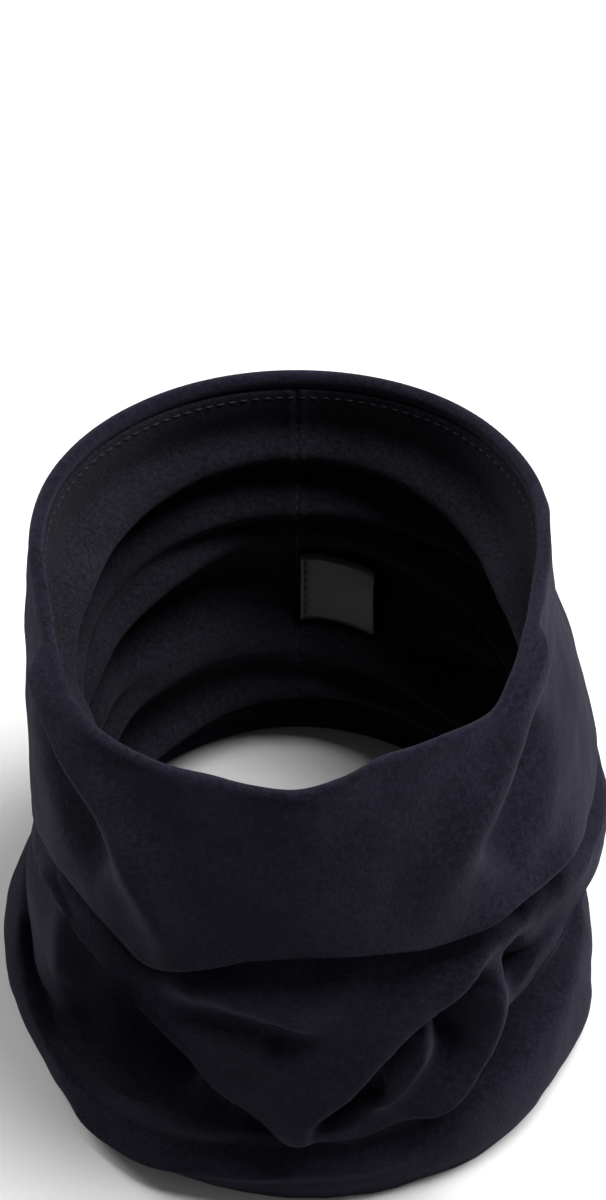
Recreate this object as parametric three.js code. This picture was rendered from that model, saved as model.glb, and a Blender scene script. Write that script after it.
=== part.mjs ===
// A double-layer fleece neck gaiter in the shape that it takes when it is worn over the nose: a knitted tube
// that is smooth over the face, bunches into two swags under the chin and ends in a soft roll round the neck.
//
// Millimetres, +Z up. The wearer looks along -Y, and +X is the wearer's left. The origin is on the floor under
// the middle of the tube. An azimuth is 0 degrees at the wearer's front, 90 at +X and 180 at the back.
import * as THREE from "three";

// ---- Driving dimensions, mm ----
const WORN_HEIGHT = 179; // the top edge at the ears, above the foot of the roll
const TOP_WIDTH = 154; // across the cheeks at the top edge
const TOP_DEPTH = 175; // from the nose to the nape at the top edge
const ROLL_WIDTH = 190; // across the roll round the neck
const ROLL_DEPTH = 204; // from front to back of the same roll
const NAPE_SHIFT = 2.5; // how far behind the roll's middle the top edge's middle lies
const TUCK_DEPTH = 8.5; // how far the cloth goes in under a fold
const FOOT_INSET = 3; // how far the roll curls in where it meets the floor
const FOOT_WIDTH = 7; // the strip of shell turned in under the roll
const SHELL_WALL = 2.2; // one layer of brushed fleece
const LINING_WALL = 1.8; // the thinner layer next to the skin
const LAYER_GAP = 0.3; // between two layers of cloth, and between a thread and its cloth
const TOP_TURN = 3; // how far the lining stops below the top edge
const THREAD_RADIUS = 0.5; // a row of stitches, as one thread
const EDGE_STITCH = 3; // from an edge of the lining to the row of stitches along it
const SEAM_END = 6; // a back seam's row of stitches stops this far from each edge
const LABEL_LENGTH = 26; // how far the care label stands out of its seam
const LABEL_HEIGHT = 30;
const LABEL_THICKNESS = 0.8; // two plies of woven satin
const LABEL_LEVEL = 62; // the label's lower edge
const LABEL_TO_SEAM = 1; // from the lining's seam to the label's stitched end
const TACK_INSET = 1.5; // from that end to the stitches that hold the label
const TACK_END = 2; // these stitches stop this far from the label's upper and lower edges

// ---- Mesh density ----
const COLUMNS = 40; // round the tube
const STEPS_PER_ROUND = 3; // down the tube, from each named round to the next
const LINING_STOP = 2; // the lining stops this many steps above the floor
const THREAD_SIDES = 6;
const STRIP_STEP = 4; // along the label, mm

const COLUMN_ANGLE = (2 * Math.PI) / COLUMNS;
const BACK_AZIMUTH = Math.PI;

// ---- Materials ----
const fleece = new THREE.MeshStandardMaterial({ color: 0x17161f, roughness: 0.97, metalness: 0 });
const liningFleece = new THREE.MeshStandardMaterial({ color: 0x1a1922, roughness: 0.97, metalness: 0 });
const thread = new THREE.MeshStandardMaterial({ color: 0x111117, roughness: 0.6, metalness: 0 });
const satin = new THREE.MeshStandardMaterial({ color: 0x23232b, roughness: 0.4, metalness: 0 });

// ---- The rounds of the cloth, from the top edge down ----
// A value for each of the wearer's four sides.
function sides(right, left, front, back) {
  return { right, left, front, back };
}

// A round is an oval seen from above. It stands out from one of the two overall sizes by so many mm on each
// side, and lies at its own share of the worn height on each side.
function round(size, out, share) {
  return {
    reach: sides(size.right + out.right, size.left + out.left, size.front + out.front, size.back + out.back),
    level: sides(...[share.right, share.left, share.front, share.back].map((s) => s * WORN_HEIGHT)),
  };
}

// How far out a round lies that is tucked in under a fold.
function tucked(right, left, front, back) {
  return sides(...[right, left, front, back].map((out) => out - TUCK_DEPTH));
}

const top = sides(TOP_WIDTH / 2, TOP_WIDTH / 2, TOP_DEPTH / 2 - NAPE_SHIFT, TOP_DEPTH / 2 + NAPE_SHIFT);
const roll = sides(ROLL_WIDTH / 2, ROLL_WIDTH / 2, ROLL_DEPTH / 2, ROLL_DEPTH / 2);

const rounds = [
  // the top edge, a little lower at the nose and at the nape than over the ears
  round(top, sides(2, -2, 0, 0), sides(1, 1, 0.99, 0.97)),
  // the cheeks, where the wearer's left side starts to fall in a loose fold
  round(top, sides(4, 9, 5, 2), sides(0.85, 0.84, 0.84, 0.84)),
  // the fold under the chin, and the tuck below it
  round(roll, sides(-13, -2, 0, -1), sides(0.73, 0.61, 0.68, 0.7)),
  round(roll, tucked(-6, -2, 1, -1), sides(0.66, 0.55, 0.61, 0.64)),
  // the shoulder of the second swag
  round(roll, sides(-8, -4, -2, -3), sides(0.56, 0.47, 0.49, 0.55)),
  // the second swag's lowest fold, which hangs deepest in front, and the tuck between it and the roll
  round(roll, sides(-1, -2, 1, -1), sides(0.31, 0.37, 0.24, 0.36)),
  round(roll, tucked(-1, -1, 1, 0), sides(0.21, 0.28, 0.16, 0.25)),
  // the roll round the neck, and its foot on the floor
  round(roll, sides(0, 0, 0, 0), sides(0.07, 0.08, 0.06, 0.08)),
  round(roll, sides(-FOOT_INSET, -FOOT_INSET, -FOOT_INSET, -FOOT_INSET), sides(0, 0, 0, 0)),
];

// Where a round crosses the half plane at an azimuth, as (radius, height).
function pointOn({ reach, level }, azimuth) {
  const ahead = Math.cos(azimuth);
  const aside = Math.sin(azimuth);
  const across = aside > 0 ? reach.left : reach.right;
  const along = ahead > 0 ? reach.front : reach.back;
  const radius = 1 / Math.hypot(aside / across, ahead / along);
  const height =
    ahead ** 2 * (ahead > 0 ? level.front : level.back) +
    aside ** 2 * (aside > 0 ? level.left : level.right);
  return new THREE.Vector2(radius, height);
}

// The shell's outer face at an azimuth, from the top edge to the floor.
function outerFace(azimuth) {
  const through = rounds.map((r) => pointOn(r, azimuth));
  return new THREE.SplineCurve(through).getPoints(STEPS_PER_ROUND * (rounds.length - 1));
}

// The same face moved into the tube by a distance, square to the cloth.
function insideOf(face, distance) {
  const inward = face.slice(1).map((p, i) => {
    const run = p.clone().sub(face[i]).normalize();
    return new THREE.Vector2(run.y, -run.x);
  });
  return face.map((p, i) => {
    const before = inward[Math.max(i - 1, 0)];
    const after = inward[Math.min(i, inward.length - 1)];
    const mitre = before.clone().add(after).divideScalar(1 + before.dot(after));
    return mitre.multiplyScalar(distance).add(p);
  });
}

// The point at a distance along a face from its first point.
function alongFace(face, distance) {
  let left = distance;
  for (let i = 1; i < face.length; i += 1) {
    const step = face[i].distanceTo(face[i - 1]);
    if (left <= step) return face[i - 1].clone().lerp(face[i], left / step);
    left -= step;
  }
  return face[face.length - 1].clone();
}

function inSpace({ x: radius, y: height }, azimuth) {
  return new THREE.Vector3(radius * Math.sin(azimuth), -radius * Math.cos(azimuth), height);
}

// A ring round the tube. Its section at each azimuth is a closed outline of (radius, height) points that runs
// down the outside and up the inside. The facets of the two faces are split along the same diagonal, so that
// one layer of cloth lies against the next with an even gap.
function ringOf(outlineAt) {
  const outlines = Array.from({ length: COLUMNS }, (_, i) => outlineAt(COLUMN_ANGLE * i));
  const corners = outlines[0].length;
  const points = outlines.flatMap((outline, i) => outline.map((p) => inSpace(p, COLUMN_ANGLE * i)));
  const at = (column, corner) => (column % COLUMNS) * corners + (corner % corners);
  const index = [];
  for (let column = 0; column < COLUMNS; column += 1) {
    for (let corner = 0; corner < corners; corner += 1) {
      const here = at(column, corner);
      const next = at(column, corner + 1);
      const beside = at(column + 1, corner);
      const across = at(column + 1, corner + 1);
      if (corner < corners / 2) index.push(here, next, beside, beside, next, across);
      else index.push(here, next, across, here, across, beside);
    }
  }
  const ring = new THREE.BufferGeometry().setFromPoints(points).setIndex(index);
  ring.computeVertexNormals();
  return ring;
}

// ---- The cloth ----
// The shell ends in a flat strip, turned in on the floor under the roll.
function shellOutline(azimuth) {
  const face = outerFace(azimuth);
  const floorEdge = face[face.length - 1];
  face.push(new THREE.Vector2(floorEdge.x - FOOT_WIDTH, floorEdge.y));
  return [...face, ...insideOf(face, SHELL_WALL).reverse()];
}

// A face of the lining, at a depth into it from the side next to the shell.
function liningFace(azimuth, depth) {
  const face = insideOf(outerFace(azimuth), SHELL_WALL + LAYER_GAP + depth);
  return [alongFace(face, TOP_TURN), ...face.slice(1, -LINING_STOP)];
}

function liningOutline(azimuth) {
  return [...liningFace(azimuth, 0), ...liningFace(azimuth, LINING_WALL).reverse()];
}

// ---- The seams ----
const SEAM_STAND = LAYER_GAP + THREAD_RADIUS; // a thread's middle above its cloth

// A thread seen end on, about a point of the half plane.
function threadSection(middle) {
  return Array.from({ length: THREAD_SIDES }, (_, i) => {
    const turn = (-2 * Math.PI * i) / THREAD_SIDES;
    return new THREE.Vector2(Math.cos(turn), Math.sin(turn)).multiplyScalar(THREAD_RADIUS).add(middle);
  });
}

// The rows of stitches round the lining, one along its upper edge and one along its lower.
function topSeamOutline(azimuth) {
  return threadSection(alongFace(liningFace(azimuth, LINING_WALL + SEAM_STAND), EDGE_STITCH));
}

function bottomSeamOutline(azimuth) {
  const upwards = liningFace(azimuth, LINING_WALL + SEAM_STAND).reverse();
  return threadSection(alongFace(upwards, EDGE_STITCH));
}

// The stretch of a face that leaves out a distance at each end.
function stretch(face, distance) {
  const shortened = [alongFace(face, distance)];
  const upwards = [...face].reverse();
  let run = 0;
  const total = face.slice(1).reduce((sum, p, i) => sum + p.distanceTo(face[i]), 0);
  face.slice(1).forEach((p, i) => {
    run += p.distanceTo(face[i]);
    if (run > distance && run < total - distance) shortened.push(p);
  });
  return [...shortened, alongFace(upwards, distance)];
}

// A path that goes straight from corner to corner, with the same share of its length to each.
class CornerPath extends THREE.Curve {
  constructor(corners) {
    super();
    this.corners = corners;
  }

  getPoint(share) {
    const place = share * (this.corners.length - 1);
    const i = Math.min(Math.max(Math.floor(place), 0), this.corners.length - 2);
    return this.corners[i].clone().lerp(this.corners[i + 1], place - i);
  }

  getUtoTmapping(share) {
    return share;
  }
}

// A row of stitches down the middle of the back, along a face of the cloth.
function backSeam(face) {
  const corners = stretch(face, SEAM_END).map((p) => inSpace(p, BACK_AZIMUTH));
  const section = new THREE.Shape();
  section.absarc(0, 0, THREAD_RADIUS, 0, 2 * Math.PI);
  return new THREE.ExtrudeGeometry(section, {
    extrudePath: new CornerPath(corners),
    steps: corners.length - 1,
    curveSegments: THREAD_SIDES / 2, // a whole circle takes twice this many sides
    bevelEnabled: false,
  });
}

// ---- The care label ----
// The tightest the lining gets between the label's edges, at an azimuth.
function roomAt(azimuth) {
  const face = liningFace(azimuth, LINING_WALL);
  const beside = face.slice(1).flatMap((lower, i) => {
    const upper = face[i];
    return lower.y < LABEL_LEVEL + LABEL_HEIGHT && upper.y > LABEL_LEVEL ? [lower.x, upper.x] : [];
  });
  return Math.min(...beside);
}

// The label's outer face clears the lining at every column that it passes, and the flats between them.
function labelRadius() {
  const reach = LABEL_TO_SEAM + THREAD_RADIUS + LABEL_LENGTH;
  const columns = Math.ceil(reach / roomAt(BACK_AZIMUTH) / COLUMN_ANGLE);
  const room = Array.from({ length: columns + 1 }, (_, i) => roomAt(BACK_AZIMUTH - i * COLUMN_ANGLE));
  return Math.min(...room) * Math.cos(COLUMN_ANGLE / 2) - LAYER_GAP;
}

// An upright strip inside the lining, from one distance from the back seam to another.
function curvedStrip(outerRadius, thickness, from, to, height) {
  const curveSegments = Math.ceil((to - from) / STRIP_STEP / 2);
  const angle = (distance) => Math.PI / 2 - distance / outerRadius;
  const plan = new THREE.Shape();
  plan.absarc(0, 0, outerRadius, angle(to), angle(from), false);
  plan.absarc(0, 0, outerRadius - thickness, angle(from), angle(to), true);
  return new THREE.ExtrudeGeometry(plan, { depth: height, curveSegments, bevelEnabled: false });
}

// ---- The assembly ----
const gaiter = new THREE.Group();

function add(name, geometry, material) {
  const mesh = new THREE.Mesh(geometry, material);
  mesh.name = name;
  gaiter.add(mesh);
  return mesh;
}

add("outer_shell", ringOf(shellOutline), fleece);
add("inner_lining", ringOf(liningOutline), liningFleece);
add("top_edge_seam", ringOf(topSeamOutline), thread);
add("bottom_edge_seam", ringOf(bottomSeamOutline), thread);
add("shell_back_seam", backSeam(insideOf(outerFace(BACK_AZIMUTH), -SEAM_STAND)), thread);
add("lining_back_seam", backSeam(liningFace(BACK_AZIMUTH, LINING_WALL + SEAM_STAND)), thread);

const labelOuter = labelRadius();
const labelStart = LABEL_TO_SEAM + THREAD_RADIUS;
const label = curvedStrip(labelOuter, LABEL_THICKNESS, labelStart, labelStart + LABEL_LENGTH, LABEL_HEIGHT);
add("care_label", label, satin).position.z = LABEL_LEVEL;

// The row of stitches that holds the label, on its inner face.
const tackOuter = labelOuter - LABEL_THICKNESS - LAYER_GAP;
const tackStart = labelStart + TACK_INSET;
const tackEnd = tackStart + 2 * THREAD_RADIUS;
const tack = curvedStrip(tackOuter, THREAD_RADIUS, tackStart, tackEnd, LABEL_HEIGHT - 2 * TACK_END);
add("care_label_tack", tack, thread).position.z = LABEL_LEVEL + TACK_END;

export default gaiter;
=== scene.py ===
# %% [markdown]
# # A fleece neck gaiter
# The object is a tube of black fleece, two layers thick, as it sits when somebody wears it over the nose.
# It is smooth over the face, hangs in two swags under the chin and ends in a soft roll. The lesson builds
# the outer layer first, because everything else is sewn to it or lies inside it.

# %% Load the frame
import math

import bpy
import numpy as np
from mathutils import Matrix, Vector, noise


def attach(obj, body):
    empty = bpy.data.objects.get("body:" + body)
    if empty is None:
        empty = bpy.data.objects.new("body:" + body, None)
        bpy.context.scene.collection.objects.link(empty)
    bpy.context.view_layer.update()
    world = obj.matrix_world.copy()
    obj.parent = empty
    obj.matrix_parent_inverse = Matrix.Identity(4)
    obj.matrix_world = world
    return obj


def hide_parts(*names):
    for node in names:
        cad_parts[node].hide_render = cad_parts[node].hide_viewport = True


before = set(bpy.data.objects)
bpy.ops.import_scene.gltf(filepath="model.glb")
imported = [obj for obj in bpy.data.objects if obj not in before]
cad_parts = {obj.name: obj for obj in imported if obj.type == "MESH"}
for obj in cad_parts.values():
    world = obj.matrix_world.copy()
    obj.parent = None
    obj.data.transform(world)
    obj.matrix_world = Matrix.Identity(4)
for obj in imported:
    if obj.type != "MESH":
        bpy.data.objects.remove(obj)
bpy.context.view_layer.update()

MM = 0.001


# %% [markdown]
# ## Camera
# The camera looks down at the front of the tube, as at somebody who bows their head a little. It stands a
# metre away, so the near folds are a little larger than the far rim. A long lens keeps that difference
# small.

# %% Camera
LOOK_AT = Vector((2, -7.5, 171)) * MM
CAMERA_DISTANCE = 1.0
CAMERA_RISE = math.radians(47)
CAMERA_LENS = 103.5

bpy.ops.object.select_all(action="DESELECT")
back = Vector((0, -math.cos(CAMERA_RISE), math.sin(CAMERA_RISE))) * CAMERA_DISTANCE
bpy.ops.object.camera_add(location=LOOK_AT + back, rotation=(math.pi / 2 - CAMERA_RISE, 0, 0))
camera = bpy.context.object
camera.name = "camera"
camera.data.lens = CAMERA_LENS
camera.data.sensor_width = 36
bpy.context.scene.camera = camera
print("camera at", [round(x, 3) for x in camera.location])


# %% [markdown]
# ## Curves through a few chosen points
# Every fold of the cloth is given by a few points. A smooth curve has to run
# through them and must not swing past them, or a shallow fold would get ripples. A cubic curve with
# limited slopes does that. The same helper works round the tube and down it.

# %% Smooth curves
def through(x_keys, y_keys, x):
    """A smooth curve through points, which never swings past them. Each point may have many values."""
    x_keys = np.asarray(x_keys, float)
    y_keys = np.asarray(y_keys, float).reshape(len(x_keys), -1)
    step = np.diff(x_keys)[:, None]
    slope = np.diff(y_keys, axis=0) / step
    before, after = slope[:-1], slope[1:]
    same = before * after > 0
    inner = np.where(same, 2 * before * after / np.where(same, before + after, 1), 0)
    tangent = np.concatenate([slope[:1], inner, slope[-1:]])
    i = np.clip(np.searchsorted(x_keys, x) - 1, 0, len(x_keys) - 2)
    t = ((x - x_keys[i]) / step[i, 0])[:, None]
    a, b, h = y_keys[i], y_keys[i + 1], step[i]
    return (
        (2 * t**3 - 3 * t**2 + 1) * a
        + (t**3 - 2 * t**2 + t) * h * tangent[i]
        + (3 * t**2 - 2 * t**3) * b
        + (t**3 - t**2) * h * tangent[i + 1]
    )


def around(keys, azimuths):
    """The same curve, closed round the tube: keys are (azimuth in degrees, value, ...)."""
    keys = sorted(keys)
    turns = [azimuth + turn for turn in (-360, 0, 360) for azimuth, *_ in keys]
    return through(turns, [values for _, *values in keys] * 3, azimuths)


def fade(low, high, x):
    """0 at low, 1 at high, smooth between them and level beyond. A fall is written with low above high."""
    t = np.clip((x - low) / (high - low), 0, 1)
    return t * t * (3 - 2 * t)


# %% [markdown]
# ## The rounds of the cloth
# The bunched tube is described by fifteen rounds, from the top edge down to the floor. An azimuth is 0
# degrees at the wearer's nose, 90 at the wearer's left and 180 at the nape. A round gives the radius and
# the height, in millimetres, where the cloth passes at some azimuths. Where a lip hangs over a tuck, the
# tuck's height is almost the lip's, and its radius is several millimetres less.

# %% The rounds
ROUNDS = {
    "top_edge": [
        (0, 85, 174.5), (9, 82.5, 175.5), (20, 79, 177.5), (32, 79.5, 177.5), (45, 80.5, 176), (55, 77.5, 178),
        (70, 73.5, 179), (82, 72.5, 179), (97, 75, 179), (120, 82, 177), (150, 88, 174), (180, 90, 172),
        (-150, 88, 174), (-120, 84, 177), (-97, 79, 178), (-82, 76, 174.5), (-70, 77, 171), (-55, 80, 169),
        (-45, 81, 168.5), (-32, 80.5, 169), (-20, 80.5, 171), (-9, 83, 173),
    ],
    "nose": [
        (0, 89.5, 157), (20, 85.5, 158), (40, 84, 158), (55, 80, 158), (75, 76.5, 156), (100, 77.5, 155),
        (140, 88, 150), (180, 93, 148), (-140, 89, 150), (-100, 81, 155), (-80, 79, 153), (-60, 81.5, 153),
        (-40, 83.5, 153), (-20, 86, 155),
    ],
    "cheeks": [
        (0, 95, 137), (20, 92.5, 136), (40, 92, 134), (60, 88, 132), (80, 85.5, 128), (100, 86, 126),
        (140, 95, 124), (180, 98, 124), (-140, 92, 125), (-100, 82, 118), (-80, 81.5, 116), (-65, 84, 120),
        (-50, 87, 128), (-35, 91, 132), (-20, 93, 136),
    ],
    "chin_lip": [
        (0, 98.5, 119), (16, 98.5, 117), (23, 98.5, 114), (33, 98.5, 112), (41, 97.5, 112.5), (48, 96.5, 110),
        (60, 95, 106), (80, 92, 100), (100, 92, 98), (140, 98, 104), (180, 100, 108), (-140, 94, 96),
        (-105, 83, 77), (-88, 82, 76), (-73, 83, 86), (-63, 85, 97), (-53, 88, 103.5), (-45, 90.5, 105.5),
        (-38, 93, 106), (-32, 95, 103), (-27, 97, 101), (-22, 98, 104.5), (-14, 98, 111), (-8, 98, 116),
    ],
    "chin_tuck": [
        (0, 84, 122), (16, 84, 121), (33, 86, 117), (41, 87, 115), (48, 88, 112), (60, 90, 104),
        (80, 90, 95), (100, 90, 93), (140, 91, 100), (180, 91, 104), (-140, 87, 92), (-105, 79, 75),
        (-88, 77, 74), (-73, 76, 83), (-63, 77, 94), (-53, 79, 101), (-38, 81, 106), (-27, 83, 106),
        (-14, 84, 115),
    ],
    "chin_hollow": [
        (0, 88, 113), (16, 88, 110), (33, 87, 103), (41, 87, 102), (48, 88, 101), (60, 90, 97),
        (80, 90.5, 91), (100, 90.5, 89), (140, 92, 96), (180, 92, 100), (-140, 88, 90), (-105, 79.5, 73),
        (-88, 78, 72), (-73, 77, 81), (-63, 78.5, 92), (-53, 81, 99.5), (-38, 84, 103), (-27, 85, 99),
        (-14, 87, 107),
    ],
    "swag_shoulder": [
        (0, 97, 96), (20, 97, 94), (41, 98, 93), (60, 97, 93), (80, 96, 87), (100, 95, 82), (140, 98, 84),
        (180, 99, 88), (-140, 92, 84), (-105, 82, 69), (-88, 81.5, 67), (-73, 82, 76), (-63, 83.5, 89),
        (-53, 87, 97), (-38, 91, 98), (-27, 94, 92), (-14, 96, 94),
    ],
    "swag_belly": [
        (0, 101, 60), (12, 101, 58), (22, 100, 64), (34, 98, 76), (46, 98, 82), (60, 98, 87), (80, 97, 82),
        (100, 96, 74), (140, 99, 66), (180, 100, 68), (-140, 93, 72), (-105, 83, 65), (-88, 82.5, 64),
        (-73, 83.5, 74), (-63, 86.5, 88), (-50, 90, 95), (-38, 94, 93), (-28, 97, 84), (-14, 100, 68),
    ],
    "swag_lip": [
        (0, 102, 33), (9, 102, 33), (18, 102, 37), (27, 101.5, 42.5), (31.5, 100.5, 51), (34, 99.5, 59),
        (38, 99, 65), (45, 99, 69), (51, 99, 75), (57, 98.5, 79), (64, 98, 81), (72, 97.5, 79),
        (85, 96.5, 72), (100, 95.5, 64), (140, 98, 56), (180, 99, 56), (-140, 93, 60), (-105, 84, 59),
        (-88, 83, 60), (-74, 84, 71.5), (-64, 87, 86), (-55, 90.5, 93), (-46, 93.5, 92.5), (-39, 95, 90),
        (-31, 98, 84), (-24, 99.5, 76), (-19, 100.5, 68), (-14, 101.5, 57), (-7, 102, 45),
    ],
    "swag_tuck": [
        (0, 90, 35), (9, 90, 36), (18, 89, 40), (27, 87, 46), (32, 86, 55), (38, 84, 66), (45, 84, 71),
        (56, 84, 79), (72, 84, 78), (85, 86, 69), (100, 87, 58), (140, 90, 50), (180, 90, 50),
        (-140, 86, 54), (-105, 79, 55), (-88, 76, 57), (-74, 75, 69), (-64, 75, 84), (-55, 75, 92),
        (-46, 76, 92), (-31, 78, 84), (-19, 81, 66), (-7, 87, 46),
    ],
    "shelf": [
        (0, 90, 27), (15, 90, 29), (28, 87, 35), (40, 84, 50), (52, 83, 57), (64, 84, 57), (80, 87, 46),
        (100, 89, 38), (140, 92, 38), (180, 93, 38), (-140, 88, 40), (-105, 86, 42), (-88, 86, 44),
        (-74, 86, 50), (-64, 82, 52), (-56, 75.5, 46), (-42, 72.5, 40), (-30, 74, 33), (-18, 79, 29),
        (-8, 86, 28),
    ],
    "valley": [
        (0, 90, 19), (10, 91, 20), (24, 91, 24), (35, 89, 30), (48, 87, 34), (62, 86, 33), (80, 87, 27),
        (100, 88.5, 24), (140, 92, 26), (180, 93, 26), (-140, 89, 24), (-105, 86, 23), (-88, 86, 25),
        (-78, 86, 14), (-66, 84.5, 9), (-56, 82, 6), (-43, 81, 6), (-31, 83, 8.5), (-18, 88, 14),
        (-8, 89, 18),
    ],
    "roll_crest": [
        (0, 96, 22), (10, 97, 23), (24, 98.5, 26.5), (35, 99, 31), (48, 98, 34.5), (62, 95, 32.5), (80, 92, 26),
        (100, 91, 23), (140, 94, 25), (180, 96, 25), (-140, 92, 23), (-105, 89, 22), (-88, 89, 24),
        (-78, 90.5, 17), (-66, 92, 13.5), (-56, 93.5, 12.5), (-43, 95.5, 14), (-31, 97, 17), (-18, 97.5, 20.5),
        (-8, 96, 21.5),
    ],
    "roll": [
        (0, 103, 12), (16, 104, 12), (28, 105, 14), (38, 105, 16), (48, 103.5, 16), (58, 101.5, 14),
        (68, 100, 12), (80, 96.5, 12), (95, 95, 12), (140, 98, 12), (180, 102, 13), (-140, 97, 12),
        (-105, 95, 11), (-88, 95.5, 9), (-78, 95.5, 7.5), (-66, 95, 6), (-56, 96, 5.5), (-45, 98, 6),
        (-37, 99.5, 7), (-30, 101.5, 8.5), (-20, 103, 10.5),
    ],
    "foot": [
        (0, 100, 0.5), (16, 101, 0.5), (33, 101.5, 0.5), (48, 99.5, 0.5), (68, 96.5, 0.5), (90, 92, 0.5),
        (140, 94, 0.5), (180, 98, 0.5), (-140, 93, 0.5), (-105, 91, 0.5), (-88, 92, 0.5), (-66, 91, 0.5),
        (-45, 93, 0.5), (-30, 97, 0.5),
    ],
}
ROWS_TO_NEXT = [12, 13, 13, 8, 5, 11, 15, 15, 9, 8, 12, 6, 8, 8]
COLUMNS = 400
SEAM_COLUMNS = (0.3, 0.6, 1.2, 1.5, 2.1, 2.4)  # extra columns beside the back seam, in degrees from it

azimuths = np.linspace(-180, 180, COLUMNS + 1)[:-1]
azimuths = np.sort(np.concatenate([azimuths, np.array(SEAM_COLUMNS) - 180, 180 - np.array(SEAM_COLUMNS)]))


def in_space(radius, height, azimuth=azimuths):
    turn = np.radians(azimuth)
    return np.stack([radius * np.sin(turn), -radius * np.cos(turn), height + 0 * turn], axis=-1)


rounds = np.stack([around(keys, azimuths) for keys in ROUNDS.values()])
down = np.concatenate([i + np.arange(n) / n for i, n in enumerate(ROWS_TO_NEXT)] + [[len(ROUNDS) - 1]])
outer = through(np.arange(len(ROUNDS)), rounds.reshape(len(ROUNDS), -1), down)
outer = outer.reshape(len(down), len(azimuths), 2)
outer = in_space(outer[..., 0], outer[..., 1])
print("outer face:", outer.shape[0], "rows of", outer.shape[1], "columns")


# %% [markdown]
# ## Folds drawn on the cloth
# The rounds give the large swags. The smaller folds run across them, so they are drawn as strokes, as
# with a sculpting brush: a stroke follows a few points on the cloth, lifts it by some millimetres over a
# width, and can lean over to its right hand so that a pocket forms beside it. A negative lift presses a
# hollow.

# %% The brush
STEPS_PER_POINT = 14  # of a stroke's line, for each of its points


def normals(points):
    """Outward unit normals of a closed band of points, given as rows down the cloth and columns round it."""
    along = np.roll(points, -1, axis=1) - np.roll(points, 1, axis=1)
    downward = np.gradient(points, axis=0)
    square = np.cross(downward, along)
    return square / np.maximum(np.linalg.norm(square, axis=-1, keepdims=True), 1e-9)


def on_cloth(points, azimuth, height):
    """The outermost point of the cloth at an azimuth and a height, as (row, column)."""
    column = int(np.argmin(np.abs((azimuths - azimuth + 180) % 360 - 180)))
    strip = points[:, column]
    near = np.abs(strip[:, 2] - height)
    radius = np.hypot(strip[:, 0], strip[:, 1])
    row = int(np.argmax(np.where(near < near.min() + 1.5, radius, 0)))
    return row, column


def evened(values, by=6):
    """The running mean of a list of points, by neighbours on each side."""
    weights = np.ones(2 * by + 1) / (2 * by + 1)
    return np.stack([np.convolve(np.pad(part, by, mode="edge"), weights, "valid") for part in values.T], 1)


def brush(points, line, width, lift, lean=0.0, pocket=0.0, ends=(0.2, 0.2)):
    """Lifts the cloth along a line of (azimuth, height). A pocket is a crease to the right of the line."""
    out = normals(points)
    keys = np.arange(len(line))
    fine = through(keys, line, np.linspace(0, len(line) - 1, STEPS_PER_POINT * len(line)))
    places = [on_cloth(points, azimuth, height) for azimuth, height in fine]
    path = evened(np.array([points[place] for place in places]))
    facing = evened(np.array([out[place] for place in places]))
    facing /= np.linalg.norm(facing, axis=1, keepdims=True)
    ahead = np.gradient(path, axis=0)
    ahead /= np.maximum(np.linalg.norm(ahead, axis=1, keepdims=True), 1e-9)
    right = np.cross(ahead, facing)
    run = np.linspace(0, 1, len(path))
    strength = fade(0, max(ends[0], 1e-3), run) * fade(0, max(ends[1], 1e-3), 1 - run)

    reach = 3.2 * width  # further away the stroke's bell shape has died out
    flat = points.reshape(-1, 3)
    low, high = path.min(0) - reach, path.max(0) + reach
    touched = np.where(((flat > low) & (flat < high)).all(1))[0]
    near = flat[touched]
    nearest = ((near[:, None] - path[None]) ** 2).sum(-1).argmin(1)
    away = near - path[nearest]
    side = (away * right[nearest]).sum(1)
    beyond = (away * ahead[nearest]).sum(1)
    depth = np.abs((away * facing[nearest]).sum(1))
    same_layer = (out.reshape(-1, 3)[touched] * facing[nearest]).sum(1) > -0.2
    hold = strength[nearest] * np.exp(-((beyond / width) ** 2)) * (1 - fade(2 * width, 3 * width, depth))
    hold = hold * same_layer
    steep = 0.45 if lean else 1.0
    ridge = np.exp(-((side / np.where(side > 0, width * steep, width)) ** 2))
    crease = np.exp(-(((side - 0.9 * width) / (0.5 * width)) ** 2))
    move = facing[nearest] * ((lift * ridge - pocket * crease) * hold)[:, None]
    move += right[nearest] * (lean * ridge * hold)[:, None]
    moved = flat.copy()
    moved[touched] += move
    return moved.reshape(points.shape)


def soften(points, times, share=0.5):
    """Evens out the cloth between neighbours, and leaves its first and last rows."""
    for _ in range(times):
        middle = (np.roll(points, 1, axis=1) + np.roll(points, -1, axis=1)) / 4
        middle[1:-1] += (points[:-2] + points[2:]) / 4
        points = points.copy()
        points[1:-1] += share * (middle[1:-1] - points[1:-1])
    return points


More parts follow.
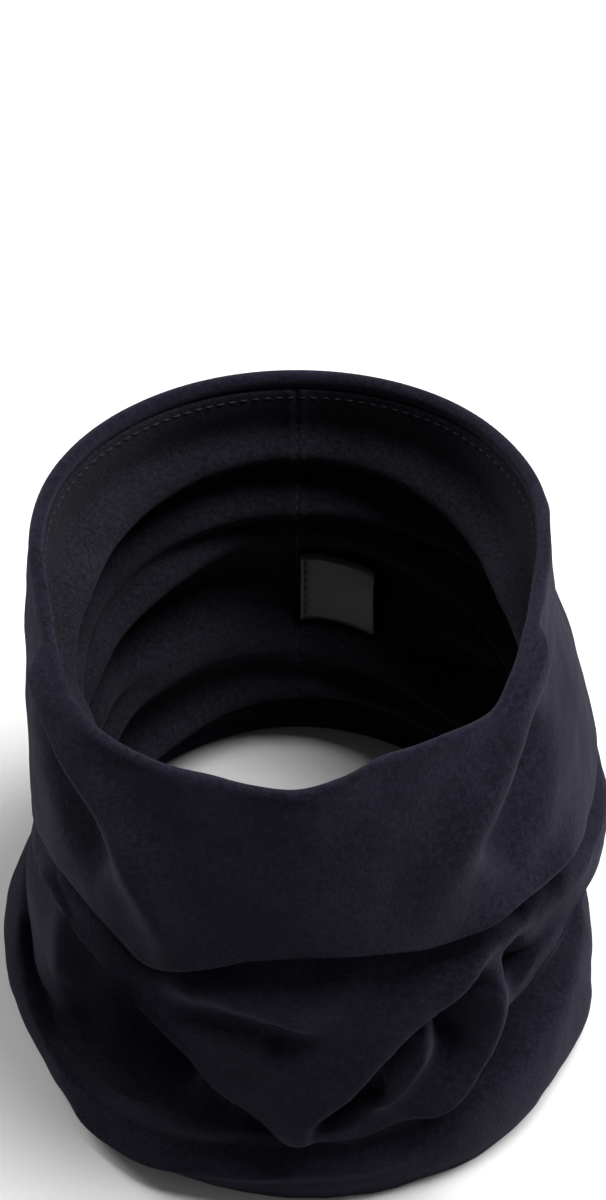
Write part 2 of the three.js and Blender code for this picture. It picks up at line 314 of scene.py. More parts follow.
# %% Draw the folds
STROKES = [
    # the two taut edges of the panel over the face, from the ears down to the chin
    dict(line=[(-76, 168), (-64, 166), (-54, 160), (-46, 155), (-38, 149), (-31, 140), (-25, 127),
               (-20, 116), (-15, 108)], width=8, lift=6, ends=(0.1, 0.3)),
    dict(line=[(74, 176), (62, 175), (52, 172), (45, 160), (36, 149), (29, 140), (23, 130), (18, 121)],
         width=9, lift=5, ends=(0.1, 0.4)),
    # the cloth falls away outside both edges
    dict(line=[(-74, 155), (-63, 150), (-53, 142), (-44, 133), (-36, 120)], width=9, lift=-7),
    dict(line=[(64, 160), (55, 151), (48, 143), (42, 136), (36, 129)], width=9, lift=-7),
    # the soft tongue under the chin lip, and the hollow below its end
    dict(line=[(-26, 94), (-15, 96), (-9, 96), (-4, 93), (1, 88), (5, 82)], width=9, lift=4, pocket=5,
         ends=(0.15, 0.3)),
    dict(line=[(-6, 82), (-1, 80), (4, 77)], width=6, lift=-4),
    # the roll that comes round from the wearer's left to the bottom of the swag
    dict(line=[(4, 34), (1, 39), (1, 46), (4, 54), (8, 62), (12, 72), (17, 83), (22, 90), (28, 95),
               (35, 98), (43, 98), (51, 98), (59, 96), (70, 92)],
         width=7.5, lift=7, lean=1.5, pocket=6, ends=(0.1, 0.15)),
    # the hooked fold beside it, and the next one out
    dict(line=[(23, 87), (23, 80), (22, 73), (20, 67), (17, 60), (14, 53), (11, 46)], width=4.2, lift=7.5,
         ends=(0.15, 0.25)),
    dict(line=[(38, 92), (36, 82), (35, 70), (31, 59), (28, 50), (23, 43), (17, 39)], width=4.6, lift=8,
         ends=(0.15, 0.25)),
    # the deep pockets between those folds
    dict(line=[(5, 40), (6, 45), (10, 53), (15, 62)], width=4.6, lift=-14),
    dict(line=[(28, 88), (28, 78), (28, 67), (26, 56)], width=4.4, lift=-13),
    dict(line=[(40, 88), (42, 83), (45, 77)], width=4.5, lift=-9),
    # the pocket that the chin lip leaves over the cheek
    dict(line=[(34, 106), (42, 105), (50, 103), (57, 100)], width=4.8, lift=-6),
    # the body of the swag on the wearer's right, and the deep hollow beside it
    dict(line=[(-57, 86), (-60, 72), (-62, 56), (-62, 40), (-61, 28)], width=7, lift=4.5),
    dict(line=[(-50, 68), (-43, 57), (-36, 46), (-28, 38), (-21, 33)], width=8, lift=-7),
    dict(line=[(-52, 44), (-46, 35), (-40, 30), (-34, 27), (-28, 25), (-22, 25)], width=6, lift=-8),
    # a small upright fold in that hollow
    dict(line=[(-31, 54), (-30, 44), (-27, 33)], width=3.6, lift=4.5),
    # the hollow between the swag and the roll on the wearer's left
    dict(line=[(56, 54), (48, 48), (41, 44), (35, 38)], width=5.5, lift=-5),
    dict(line=[(62, 42), (54, 40), (47, 40), (41, 42), (37, 46)], width=7, lift=-6),
    # a low ridge along the roll
    dict(line=[(-50, 7), (-41, 8), (-30, 10), (-18, 14), (-8, 16), (2, 17), (14, 18), (27, 21)], width=3.4,
         lift=4, pocket=2),
]
ABOVE_FLOOR = 0.4  # the lowest that a fold may reach

for stroke in STROKES:
    outer = brush(outer, **stroke)
outer = soften(outer, times=3)
outer[..., 2] = np.maximum(outer[..., 2], ABOVE_FLOOR)
print(len(STROKES), "folds drawn; the cloth reaches", np.round(outer.reshape(-1, 3).max(0), 1), "mm")


# %% [markdown]
# ## The back seam
# The outer layer is one strip of fleece, joined at the nape. The join pulls a narrow groove into the
# cloth, and the seam allowances behind it stand up as a low welt on each side.

# %% Press the back seam
def bell(x, middle, half_width):
    """1 at the middle, falling smoothly to 0 on both sides."""
    return np.exp(-(((x - middle) / half_width) ** 2))


SEAM_GROOVE = 1.1
GROOVE_WIDTH = 0.9
SEAM_WELT = 0.5
WELT_WIDTH = 1.6
WELT_FROM_SEAM = 2.8

from_seam = np.radians(180 - np.abs(azimuths)) * np.hypot(outer[..., 0], outer[..., 1])
relief = SEAM_WELT * bell(from_seam, WELT_FROM_SEAM, WELT_WIDTH)
relief = relief - SEAM_GROOVE * bell(from_seam, 0, GROOVE_WIDTH)
outer = outer + normals(outer) * relief[..., None]
print("seam pressed, mm:", round(float(relief.min()), 2), "to", round(float(relief.max()), 2))

# %% [markdown]
# Worn fleece is never quite smooth between its folds. Broad low rises and finer ones give it that slack.
# They are small enough to stay clear of the folds, and the same in every run.

# %% Slack
SLACKS = [(1, 16, 0.7), (2, 6.5, 0.22)]  # seed, size of a rise, depth
LOWEST = 0.3  # the lowest that the slack may reach


def slack(points, seed, size, depth):
    """Small uneven rises of the cloth, about size across and depth high, in millimetres."""
    out = normals(points)
    flat = points.reshape(-1, 3)
    shift = Vector((seed * 37.0, seed * 11.0, seed * 5.0))
    rise = np.array([noise.noise(Vector(p) / size + shift) for p in flat]).reshape(points.shape[:2])
    return points + out * (depth * rise)[..., None]


for seed, size, depth in SLACKS:
    outer = slack(outer, seed, size, depth)
outer[..., 2] = np.maximum(outer[..., 2], LOWEST)
print("slack added; the cloth reaches", np.round(outer.reshape(-1, 3).max(0), 1), "mm")


# %% [markdown]
# ## The space behind the folds
# The lining may not touch any fold of the outer layer. So the innermost place of the folds is found at
# each height, all round the tube, and smoothed. The lining and the turned edge at the foot keep inside
# that space.

# %% The space behind the folds
SHELL_WALL = 2.2
LINING_WALL = 1.8
LAYER_GAP = 0.3
RIM = (SHELL_WALL + LAYER_GAP + LINING_WALL) / 2  # radius of the turned top edge
RIM_TURN = 5.3  # how far the outer layer comes down inside the top edge
FOOT_TURN = 7.4  # and how far it comes up inside the lower one
LEVEL_STEP = 2.0
CLEAR_OF_FOLDS = 0.6
CLEAR_OF_RIM = 0.1
CLEAR_OF_FOOT = 2.7
UNSET = 999.0

top_radius, top_height = rounds[0].T
foot_radius = rounds[-1][:, 0]
levels = np.arange(0, 184, LEVEL_STEP)


def spread(field, by, rows_by, pick):
    """The least or mean value of a field's neighbours: by columns round the tube, rows_by levels."""
    padded = np.pad(field, ((rows_by, rows_by), (0, 0)), mode="edge")
    views = [
        np.roll(padded[i : i + len(field)], j, axis=1)
        for i in range(2 * rows_by + 1)
        for j in range(-by, by + 1)
    ]
    return pick(views, axis=0)


radii = np.hypot(outer[..., 0], outer[..., 1])
inmost = np.full((len(levels), len(azimuths)), UNSET)
for share in np.arange(0, 1, 0.25):
    heights = outer[:-1, :, 2] * (1 - share) + outer[1:, :, 2] * share
    depths = radii[:-1] * (1 - share) + radii[1:] * share
    level = np.clip(np.round(heights / LEVEL_STEP).astype(int), 0, len(levels) - 1)
    np.minimum.at(inmost, (level, np.broadcast_to(np.arange(len(azimuths)), level.shape)), depths)
for k in range(1, len(levels)):
    inmost[k] = np.where(inmost[k] == UNSET, inmost[k - 1], inmost[k])
inmost = spread(inmost, 3, 2, np.min)
inmost = spread(spread(inmost, 4, 2, np.mean), 4, 2, np.mean) - CLEAR_OF_FOLDS
to_top = fade(20, 7, top_height[None] - levels[:, None])
inmost = inmost * (1 - to_top) + (top_radius - CLEAR_OF_RIM)[None] * to_top
to_foot = fade(16, 6, levels)[:, None]
inmost = inmost * (1 - to_foot) + np.minimum(inmost, foot_radius[None] - CLEAR_OF_FOOT) * to_foot


def at_height(field, height):
    """What a field of levels says in every column, at a height for each column."""
    at = np.clip(height / LEVEL_STEP, 0, len(levels) - 1.001)
    low = at.astype(int)
    part = at - low
    column = np.arange(field.shape[1])
    return field[low, column] * (1 - part) + field[low + 1, column] * part


print("space behind the folds:", np.round([inmost.min(), inmost.max()], 1), "mm from the middle")

# %% [markdown]
# ## The outer layer as one closed sheet
# A tube of cloth with thickness is a flat sheet that closes on itself twice: round the neck, and over
# both edges. So the piece starts as a flat grid, and its vertices are moved to where the cloth passes.
# The edges that meet are then merged.

# %% Sheets
def closed_sheet(name, points):
    """A closed thick tube from rows of points: rows go over both edges and back, columns go round."""
    rows, columns = points.shape[:2]
    bpy.ops.object.select_all(action="DESELECT")
    bpy.ops.mesh.primitive_grid_add(x_subdivisions=columns, y_subdivisions=rows, size=2)
    sheet = bpy.context.object
    sheet.name = sheet.data.name = name
    spots = np.empty(len(sheet.data.vertices) * 3)
    sheet.data.vertices.foreach_get("co", spots)
    spots = spots.reshape(-1, 3)
    column = np.round((spots[:, 0] + 1) / 2 * columns).astype(int) % columns
    row = np.round((1 - spots[:, 1]) / 2 * rows).astype(int) % rows
    sheet.data.vertices.foreach_set("co", (points[row, column] * MM).ravel())
    sheet.data.update()
    bpy.ops.object.mode_set(mode="EDIT")
    bpy.ops.mesh.select_all(action="SELECT")
    bpy.ops.mesh.remove_doubles(threshold=0.000002)
    bpy.ops.mesh.faces_shade_smooth()
    bpy.ops.mesh.select_all(action="DESELECT")
    bpy.ops.object.mode_set(mode="OBJECT")
    print(f"{name}: {len(sheet.data.polygons)} faces")
    return sheet


# %% [markdown]
# The rows run down the outer face, and at the floor the cloth turns in and up, inside the lining. From
# there the rows climb back along the cloth's own inner face. They close over the top edge, which is turned
# in and ends in a short leg.

# %% The outer layer
ROWS_THAT_SINK = 12
RIM_TURNS = (22, 45, 67, 90, 113, 135, 158, 180)  # degrees over the rounded top edge
TURN_END = 0.8  # how much the end of the turned top edge is rounded
INNER_SKIP = 6  # rows of the outer face left out at each end of the inner face


def at_columns(radius, height):
    return in_space(np.asarray(radius, float), np.asarray(height, float) + 0 * azimuths)


# the first rows sink below the top edge, which is turned over
sink = RIM * (1 - fade(0, ROWS_THAT_SINK, np.arange(len(outer))))
outer[..., 2] -= sink[:, None]

rim_rows = []
for turn in np.radians(RIM_TURNS):
    rim_rows.append(at_columns(top_radius - RIM + RIM * np.cos(turn), top_height - RIM + RIM * np.sin(turn)))
rim_rows.append(at_columns(top_radius - 2 * RIM, top_height - 0.85 * RIM_TURN))
rim_rows.append(at_columns(top_radius - 2 * RIM + TURN_END, top_height - RIM_TURN))
rim_rows.append(at_columns(top_radius - SHELL_WALL, top_height - RIM_TURN - TURN_END))

# and the lower edge lies flat on the floor, then stands up inside the tube
inner_foot = at_height(inmost, np.full(len(azimuths), 8.0)) - 2 * RIM
foot_rows = [
    at_columns(foot_radius - 2, 0),
    at_columns((foot_radius + inner_foot) / 2, 0),
    at_columns(inner_foot + 1.0, 0),
    at_columns(inner_foot + 0.3, 0.7),
    at_columns(inner_foot, 1.5),
    at_columns(inner_foot, 4.0),
    at_columns(inner_foot, FOOT_TURN - 1.0),
    at_columns(inner_foot + 0.9, FOOT_TURN - 0.2),
    at_columns(inner_foot + 2 * RIM - SHELL_WALL, FOOT_TURN + 1.2),
]
# the inner face is the outer one, moved in through the cloth; tight folds are opened a little on this side
kept = slice(INNER_SKIP, -INNER_SKIP, 2)
inner = outer[kept] - SHELL_WALL * normals(outer)[kept]
inner = soften(inner, times=4)
inner[..., 2] = np.maximum(inner[..., 2], FOOT_TURN + 1.6)
cloth_length = np.linalg.norm(np.diff(outer, axis=0), axis=-1).sum(0).mean()
print("length of cloth from edge to edge, mm:", round(float(cloth_length)))
shell_points = np.concatenate([outer, foot_rows, inner[::-1], rim_rows[::-1]])
shell_cloth = closed_sheet("shell_cloth", shell_points)

# %% [markdown]
# ## The lining
# The lining is a second tube, a little smaller, which bunches up with the outer layer. Its folds can only
# go inwards, so they are drawn as soft wandering rolls that stand into the neck opening. They fade out
# towards the edges and round the label. The edges butt against the turned edges of the outer layer.

# %% Folds of the lining
LINING_COLUMNS = 240
LINING_EDGE = LINING_WALL / 2
INSIDE = 2 * RIM  # from the outer layer's outer face to the lining's inner one
EDGE_GAP = 0.35  # between the lining's edges and the turned edges
ROLLS = [  # height, depth, half width, wander, wander twice round, phase of both in degrees
    (29, 13, 7.0, 3, 3, 20, 140),
    (51, 15, 7.5, 5, 3, 200, 60),
    (74, 15, 7.5, 5, 4, 90, 250),
    (97, 14, 7.5, 5, 3, 310, 20),
    (120, 14, 7.5, 5, 3, 60, 110),
    (142, 12, 7.0, 4, 3, 150, 170),
]
LABEL_FOOT = 62
LABEL_HEIGHT = 30
LABEL_ROOM = 28  # degrees beside the seam where the rolls are low
LINING_GROOVE = 0.6
LINING_WELT = 0.35

lining_azimuths = np.linspace(-180, 180, LINING_COLUMNS + 1)[:-1]
beside_seam = np.array(SEAM_COLUMNS)
lining_azimuths = np.sort(np.concatenate([lining_azimuths, beside_seam - 180, 180 - beside_seam]))


def on_lining(field):
    return np.interp(lining_azimuths, azimuths, field, period=360)


lining_top = on_lining(top_height) - RIM_TURN - EDGE_GAP
lining_foot = FOOT_TURN + EDGE_GAP
lining_space = np.array([on_lining(level) for level in inmost])


def lining_radius(height):
    """Radius of the lining's inner face in every column, at a height for each column."""
    wall = at_height(lining_space, height)
    turn = np.radians(lining_azimuths)
    depth = 0 * turn
    for level, most, half_width, wander, second, phase, second_phase in ROLLS:
        middle = level + wander * np.sin(turn + math.radians(phase))
        middle = middle + second * np.sin(2 * turn + math.radians(second_phase))
        swell = 0.78 + 0.22 * np.sin(3 * turn + math.radians(phase + 2 * level))
        depth += most * swell * bell(height, middle, half_width)
    by_label = bell(np.abs(lining_azimuths), 180, LABEL_ROOM)
    by_label = by_label * fade(40, 58, height) * fade(118, 98, height)
    depth = depth * fade(13, 24, height) * fade(9, 24, lining_top - height) * (1 - 0.9 * by_label)
    seam = np.radians(180 - np.abs(lining_azimuths)) * wall
    relief = LINING_WELT * bell(seam, 2.4, 1.4) - LINING_GROOVE * bell(seam, 0, 0.8)
    return wall - INSIDE - depth - relief


def lining_row(height, wall=0.0):
    """The lining at these heights: its inner face, or wall further out through its thickness."""
    radius = lining_radius(height)
    slope = (lining_radius(height + 1) - lining_radius(height - 1)) / 2
    return in_space(radius + wall * np.sqrt(1 + slope**2), height, lining_azimuths)


print("folds of the lining:", len(ROLLS), "rolls over", len(lining_azimuths), "columns")

# %% [markdown]
# Its rows run down the outer face, round the lower edge, up the inner face and round the upper edge. Both
# edges are half round, as a cut edge of fleece is after it is sewn.

# %% The lining
LINING_ROWS = 112
EDGE_TURNS = (36, 72, 108, 144)  # degrees round a cut edge


def up_the_lining(share):
    return (lining_foot + LINING_EDGE) * (1 - share) + (lining_top - LINING_EDGE) * share


lining_rows = []
rise = np.linspace(0, 1, LINING_ROWS)
for share in rise[::-1]:
    lining_rows.append(lining_row(up_the_lining(share), LINING_WALL))
for turn in np.radians(EDGE_TURNS):
    height = lining_foot + LINING_EDGE - LINING_EDGE * np.sin(turn) + 0 * lining_top
    lining_rows.append(lining_row(height, LINING_EDGE * (1 + np.cos(turn))))
for share in rise:
    lining_rows.append(lining_row(up_the_lining(share)))
for turn in np.radians(EDGE_TURNS):
    height = lining_top - LINING_EDGE + LINING_EDGE * np.sin(turn)
    lining_rows.append(lining_row(height, LINING_EDGE * (1 - np.cos(turn))))
lining_cloth = closed_sheet("lining_cloth", np.array(lining_rows))


# %% [markdown]
# ## Rows of stitches
# All the seams show as short stitches. One stitch is modelled: a short thread, thicker in the middle,
# whose ends dip into the cloth. It's copied along each seam, so it has only a few dozen faces.

# %% One stitch
STITCH = 2.7  # length of a stitch
STITCH_PITCH = 3.7  # from one stitch to the next
THREAD = 0.32  # radius of the thread
THREAD_PROUD = 0.12  # how far a stitch is raised off the cloth

bpy.ops.object.select_all(action="DESELECT")
bpy.ops.mesh.primitive_uv_sphere_add(segments=8, ring_count=7, radius=MM, rotation=(0, math.pi / 2, 0))
stitch = bpy.context.object
stitch.name = "stitch"
bpy.ops.object.transform_apply(location=True, rotation=True, scale=True)
bpy.ops.object.mode_set(mode="EDIT")
bpy.ops.mesh.select_all(action="SELECT")
bpy.ops.mesh.faces_shade_smooth()
bpy.ops.object.mode_set(mode="OBJECT")
for vertex in stitch.data.vertices:
    reach = abs(vertex.co.x) / MM
    vertex.co.x *= STITCH / 2
    vertex.co.y *= THREAD
    vertex.co.z = vertex.co.z * THREAD - 0.8 * THREAD * MM * reach**2
print("stitch:", len(stitch.data.polygons), "faces")


# %% [markdown]
# ## Sewing the rows
# A row walks along its path at the stitch pitch and sets a copy down at every step, with its back to the
# cloth. A row is joined into one piece, so it can be named and shaded as the thread that it is.

# %% Rows
def sew(name, path, facing, closed=False):
    """Joins stitches into one piece along a path of points, facing the way given at each point."""
    if closed:
        path, facing = np.vstack([path, path[:1]]), np.vstack([facing, facing[:1]])
    run = np.concatenate([[0], np.cumsum(np.linalg.norm(np.diff(path, axis=0), axis=1))])
    count = int(run[-1] / STITCH_PITCH)
    pitch = run[-1] / count
    bpy.ops.object.select_all(action="DESELECT")
    for i in range(count):
        at = (i + 0.5) * pitch
        place, before, after, up = (
            Vector([float(np.interp(d, run, c)) for c in field.T])
            for d, field in ((at, path), (at - STITCH / 2, path), (at + STITCH / 2, path), (at, facing))
        )
        ahead = (after - before).normalized()
        up = (up - ahead * up.dot(ahead)).normalized()
        side = up.cross(ahead)
        copied = stitch.copy()
        copied.data = stitch.data.copy()
        bpy.context.collection.objects.link(copied)
        middle = (place + (before + after) / 2) / 2 + up * THREAD_PROUD
        turned = Matrix((ahead, side, up)).transposed().to_4x4()
        copied.matrix_world = Matrix.Translation(middle * MM) @ turned
        copied.select_set(True)
        bpy.context.view_layer.objects.active = copied
    bpy.context.view_layer.update()
    bpy.ops.object.join()
    row = bpy.context.object
    row.name = row.data.name = name
    bpy.ops.object.transform_apply(location=True, rotation=True, scale=True)
    print(f"{name}: {count} stitches, {len(row.data.polygons)} faces")
    return row


def inwards(points):
    out = points * np.array([1, 1, 0])
    return -out / np.linalg.norm(out, axis=1, keepdims=True)


print("ready to sew at", STITCH_PITCH, "mm a stitch")

# %% [markdown]
# The two edge rows run round the lining, just beside its edges. The two back rows run down the nape, one
# on each layer, in the groove of the seam.

# %% Edge rows and back rows
BESIDE_EDGE = 3.0
SEAM_END = 6.0

row = lining_row(lining_top - BESIDE_EDGE)
top_edge_stitches = sew("top_edge_stitches", row, inwards(row), closed=True)
row = lining_row(lining_foot + BESIDE_EDGE + 0 * lining_top)
bottom_edge_stitches = sew("bottom_edge_stitches", row, inwards(row), closed=True)

nape = int(np.argmin(azimuths))
sewn = slice(4, -9)  # the rows of the back seam, short of both edges
seam_path, seam_facing = outer[sewn, nape], normals(outer)[sewn, nape]
shell_back_stitches = sew("shell_back_stitches", seam_path, seam_facing)

lining_nape = int(np.argmin(lining_azimuths))
heights = np.arange(lining_foot + SEAM_END, lining_top[lining_nape] - SEAM_END, 1.5)
seam_path = np.array([lining_row(h + 0 * lining_top)[lining_nape] for h in heights])
lining_back_stitches = sew("lining_back_stitches", seam_path, inwards(seam_path))

# %% [markdown]
# ## The care label
# The label is a satin ribbon, folded in half and caught in the lining's back seam by both ends. It hangs
# free from there, a millimetre off the lining, with a small loop at the fold. The ribbon starts as a flat
# grid and is then given its thickness.

# %% Label
LABEL_LENGTH = 26.0
LABEL_WALL = 0.25
LOOP = 0.45  # radius of the fold
LABEL_FROM_SEAM = 1.2
LABEL_GAP = 1.0  # between the ribbon and the lining
NAPE_RADIUS = 88  # of the lining's inner face, where the label hangs
CURL = 1.6  # how far the free end curls away from the lining
SAG = 1.2  # and how far it hangs down
TACK_FROM_END = 1.6

label_heights = np.arange(LABEL_FOOT - 2, LABEL_FOOT + LABEL_HEIGHT + 3, 2.0)
lining_here = np.min([lining_radius(h + 0 * lining_top) for h in label_heights], axis=0)


def label_point(along, height):
    """A point of the ribbon, along millimetres from its outer end, at a height."""
    half = LABEL_LENGTH - LOOP
    bend = math.pi * LOOP
    if along < half:
        out, off = along, 0.0
    elif along < half + bend:
        turn = (along - half) / LOOP
        out, off = half + LOOP * math.sin(turn), LOOP * (1 - math.cos(turn))
    else:
        out, off = 2 * half + bend - along, 2 * LOOP
    azimuth = 180 - math.degrees((out + LABEL_FROM_SEAM) / NAPE_RADIUS)
    free = out / LABEL_LENGTH
    curl = CURL * free**2 + 0.5 * math.sin(height * 0.16 + 1) * free
    radius = float(np.interp(azimuth, lining_azimuths, lining_here)) - LABEL_GAP - off - max(curl, 0)
    turn = math.radians(azimuth)
    return radius * math.sin(turn), -radius * math.cos(turn), height - SAG * free**2


ribbon = 2 * (LABEL_LENGTH - LOOP) + math.pi * LOOP
bpy.ops.object.select_all(action="DESELECT")
bpy.ops.mesh.primitive_grid_add(x_subdivisions=96, y_subdivisions=16, size=2)
label_ribbon = bpy.context.object
label_ribbon.name = label_ribbon.data.name = "label_ribbon"
for vertex in label_ribbon.data.vertices:
    along = (vertex.co.x + 1) / 2 * ribbon
    height = LABEL_FOOT + (vertex.co.y + 1) / 2 * LABEL_HEIGHT
    vertex.co = Vector(label_point(along, height)) * MM
bpy.ops.object.modifier_add(type="SOLIDIFY")
label_ribbon.modifiers[-1].thickness = LABEL_WALL * MM
label_ribbon.modifiers[-1].offset = 0
bpy.ops.object.modifier_apply(modifier=label_ribbon.modifiers[-1].name)
bpy.ops.object.mode_set(mode="EDIT")
bpy.ops.mesh.select_all(action="SELECT")
bpy.ops.mesh.normals_make_consistent(inside=False)
bpy.ops.mesh.faces_shade_smooth()
bpy.ops.object.mode_set(mode="OBJECT")

tack_heights = np.arange(LABEL_FOOT + 2, LABEL_FOOT + LABEL_HEIGHT - 1.5, 1.0)
tack_path = np.array([label_point(ribbon - TACK_FROM_END, h) for h in tack_heights])
tack_facing = inwards(tack_path)
tack_path = tack_path + tack_facing * (LABEL_WALL / 2)
label_stitches = sew("label_stitches", tack_path, tack_facing)
print("label_ribbon:", len(label_ribbon.data.polygons), "faces; ribbon", round(ribbon, 1), "mm long")

bpy.ops.object.select_all(action="DESELECT")
stitch.select_set(True)
bpy.ops.object.delete()


# %% [markdown]
# ## Materials
# Every finish here is a mix of a few noises, which colour the surface and raise it. The helpers make one
# such noise, add several up, and lead the sum to the colour or to the relief.

# %% Helpers for the finishes
def new_material(name, roughness, sheen, sheen_tint, specular):
    material = bpy.data.materials.new(name)
    material.use_nodes = True
    shader = material.node_tree.nodes["Principled BSDF"]
    shader.inputs["Roughness"].default_value = roughness
    shader.inputs["Sheen Weight"].default_value = sheen
    shader.inputs["Sheen Roughness"].default_value = 0.6
    shader.inputs["Sheen Tint"].default_value = (*sheen_tint, 1)
    shader.inputs["Specular IOR Level"].default_value = specular
    return material, material.node_tree.nodes, material.node_tree.links, shader


def grain(nodes, links, where, size_mm, detail=2.0, roughness=0.5, stretch=(1, 1, 1)):
    """A noise whose spots are about size_mm across, in the object's own space."""
    mapping = nodes.new("ShaderNodeMapping")
    mapping.inputs["Scale"].default_value = stretch
    texture = nodes.new("ShaderNodeTexNoise")
    texture.inputs["Scale"].default_value = 1 / (size_mm * MM)
    texture.inputs["Detail"].default_value = detail
    texture.inputs["Roughness"].default_value = roughness
    links.new(where, mapping.inputs["Vector"])
    links.new(mapping.outputs["Vector"], texture.inputs["Vector"])
    return texture.outputs["Fac"]


def blended(nodes, links, shares):
    """The weighted sum of some values."""
    total = None
    for value, share in shares:
        part = nodes.new("ShaderNodeMath")
        part.operation = "MULTIPLY_ADD"
        links.new(value, part.inputs[0])
        part.inputs[1].default_value = share
        if total is None:
            part.inputs[2].default_value = 0
        else:
            links.new(total, part.inputs[2])
        total = part.outputs[0]
    return total


def tinted(nodes, links, shader, value, low, dark, high, pale):
    """Colours the shader from dark to pale as a value goes from low to high."""
    ramp = nodes.new("ShaderNodeValToRGB")
    for stop, place, colour in zip(ramp.color_ramp.elements, (low, high), (dark, pale)):
        stop.position = place
        stop.color = (*colour, 1)
    links.new(value, ramp.inputs["Fac"])
    links.new(ramp.outputs["Color"], shader.inputs["Base Color"])


def raised(nodes, links, shader, value, strength, height_mm):
    """Raises the surface where a value is high."""
    bump = nodes.new("ShaderNodeBump")
    bump.inputs["Strength"].default_value = strength
    bump.inputs["Distance"].default_value = height_mm * MM
    links.new(value, bump.inputs["Height"])
    links.new(bump.outputs["Normal"], shader.inputs["Normal"])


print("a new finish has:", [helper.__name__ for helper in (grain, blended, tinted, raised)])


# %% [markdown]
# Fleece is brushed until its fibres stand up, so it has no shine of its own. A soft sheen makes it paler
# where it turns away, and its nap lies in small clumps that differ in colour and in height. The three
# sizes of noise are the single fibres, the clumps, and the places where the nap was stroked. The lining is
# the same kind of fleece, a little finer and paler.

# %% Fleece
def fleece(name, dark, pale, sheen, sheen_tint, fibre=0.7, clump=1.8, stroked=26, height=0.5):
    """Brushed fleece: fibre, clump, stroked and height are sizes of its nap, in millimetres."""
    material, nodes, links, shader = new_material(name, 0.95, sheen, sheen_tint, 0.04)
    where = nodes.new("ShaderNodeTexCoord").outputs["Object"]
    fibres = grain(nodes, links, where, fibre, 3.0, 0.65)
    clumps = grain(nodes, links, where, clump, 2.0, 0.55)
    strokes = grain(nodes, links, where, stroked, 2.0)
    colour = blended(nodes, links, [(fibres, 0.45), (clumps, 0.35), (strokes, 0.2)])
    tinted(nodes, links, shader, colour, 0.41, dark, 0.61, pale)
    nap = blended(nodes, links, [(fibres, 0.55), (clumps, 0.45)])
    raised(nodes, links, shader, nap, 0.95, height)
    return material


shell_fleece = fleece(
    "shell_fleece", (0.0018, 0.0017, 0.0034), (0.0073, 0.0067, 0.0130), 0.05, (0.58, 0.53, 0.75)
)
lining_fleece = fleece(
    "lining_fleece", (0.0028, 0.0026, 0.004), (0.010, 0.0092, 0.0145), 0.02, (0.6, 0.6, 0.7),
    fibre=0.6, clump=1.4,
)
print("fleeces:", shell_fleece.name, "and", lining_fleece.name)

# %% [markdown]
# Thread is twisted polyester: the plies of its twist show as small bumps, and it has a slight shine. The
# label's satin is smooth along its length, with fine cross threads, and it is paler where it rubs.

# %% Thread and satin
thread, nodes, links, shader = new_material("thread", 0.65, 0.02, (0.7, 0.7, 0.8), 0.12)
where = nodes.new("ShaderNodeTexCoord").outputs["Object"]
ply = grain(nodes, links, where, 0.35, 1.0)
tinted(nodes, links, shader, ply, 0.35, (0.0035, 0.0035, 0.005), 0.7, (0.012, 0.0115, 0.016))
raised(nodes, links, shader, ply, 0.6, 0.1)

label_satin, nodes, links, shader = new_material("label_satin", 0.5, 0.02, (1, 1, 1), 0.3)
shader.inputs["Anisotropic"].default_value = 0.5
where = nodes.new("ShaderNodeTexCoord").outputs["Object"]
weft = grain(nodes, links, where, 0.5, 1.0, stretch=(1, 1, 6))
rubbed = grain(nodes, links, where, 9, 3.0)
wear = blended(nodes, links, [(rubbed, 0.75), (weft, 0.25)])
tinted(nodes, links, shader, wear, 0.3, (0.008, 0.008, 0.010), 0.6, (0.014, 0.014, 0.017))
raised(nodes, links, shader, weft, 0.35, 0.1)
print("materials:", [material.name for material in (shell_fleece, lining_fleece, thread, label_satin)])

# %% [markdown]
# ## Put the pieces on the frame
# Nothing on the tube moves on its own, so every piece rides on the root. Each takes the place of one part
# of the plain solid model.

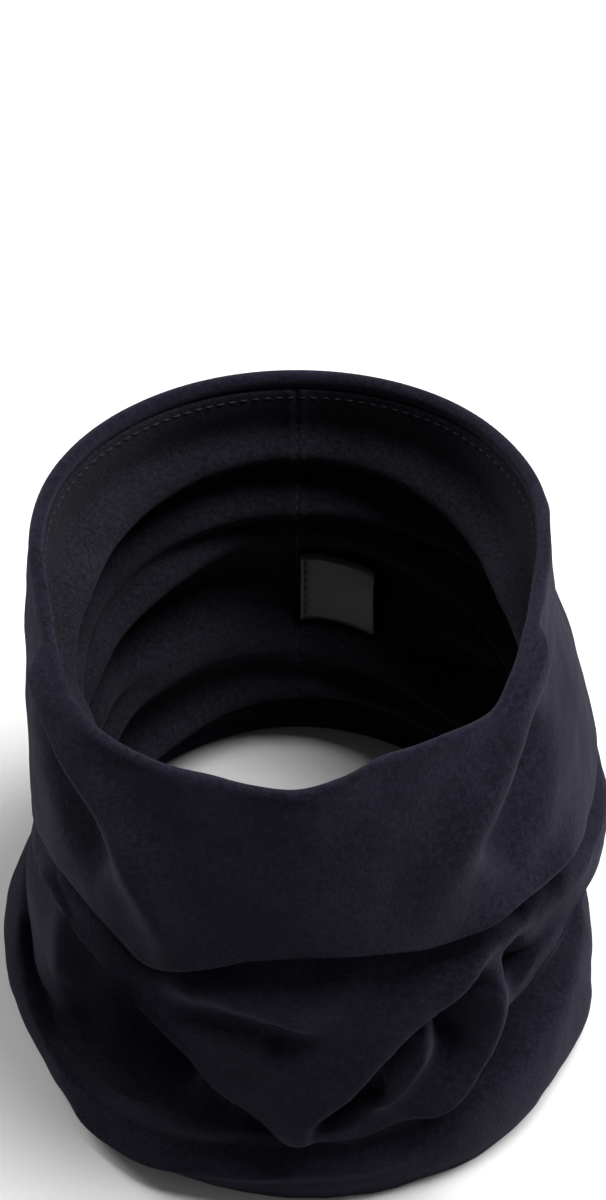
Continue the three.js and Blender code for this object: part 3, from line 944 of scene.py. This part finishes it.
# %% Pieces
PIECES = [
    (shell_cloth, "outer_shell", "shell_fleece", shell_fleece),
    (lining_cloth, "inner_lining", "lining_fleece", lining_fleece),
    (top_edge_stitches, "top_edge_seam", "thread", thread),
    (bottom_edge_stitches, "bottom_edge_seam", "thread", thread),
    (shell_back_stitches, "shell_back_seam", "thread", thread),
    (lining_back_stitches, "lining_back_seam", "thread", thread),
    (label_ribbon, "care_label", "label_satin", label_satin),
    (label_stitches, "care_label_tack", "thread", thread),
]
for piece, node, slot, material in PIECES:
    piece.data.materials.clear()
    piece.data.materials.append(material)
    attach(piece, "root")
    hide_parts(node)

print(len(PIECES), "pieces on the frame")

# %% [markdown]
# ## Floor and light
# The floor is plain and pale. One large soft light hangs above, a little towards the wearer's left, and
# shades the pockets under the lips. Two more stand behind the tube on both sides, so they graze the folds
# and leave their crests paler than the panel over the face. The pale room fills in the rest.

# %% Floor
bpy.ops.object.select_all(action="DESELECT")
bpy.ops.mesh.primitive_plane_add(size=12)
floor = bpy.context.object
floor.name = floor.data.name = "floor"
floor_paint, nodes, links, shader = new_material("floor_paint", 0.9, 0.0, (1, 1, 1), 0.1)
shader.inputs["Base Color"].default_value = (0.5, 0.5, 0.5, 1)
floor.data.materials.append(floor_paint)
print("floor:", [round(side, 1) for side in floor.dimensions[:2]], "m")

# %% Light
LIGHT_SIZE = 0.8
LIGHTS = [  # name, place in metres, power in watts
    ("light_above", (0.5, 0.0, 1.65), 51),
    ("light_left_hand", (1.5, 0.5, 0.75), 26),
    ("light_right_hand", (-1.15, 0.95, 0.9), 27),
]
LIT_POINT = Vector((0, 0, 0.1))


def soft_light(name, place, power):
    bpy.ops.object.light_add(type="AREA", location=place)
    light = bpy.context.object
    light.name = light.data.name = name
    light.data.shape = "DISK"
    light.data.size = LIGHT_SIZE
    light.data.energy = power
    light.rotation_euler = (LIT_POINT - Vector(place)).to_track_quat("-Z", "Y").to_euler()


for name, place, power in LIGHTS:
    soft_light(name, place, power)

world = bpy.data.worlds.new("pale_room")
world.use_nodes = True
world.node_tree.nodes["Background"].inputs["Color"].default_value = (1, 1, 1, 1)
world.node_tree.nodes["Background"].inputs["Strength"].default_value = 0.25
bpy.context.scene.world = world
bpy.context.scene.view_settings.view_transform = "Standard"
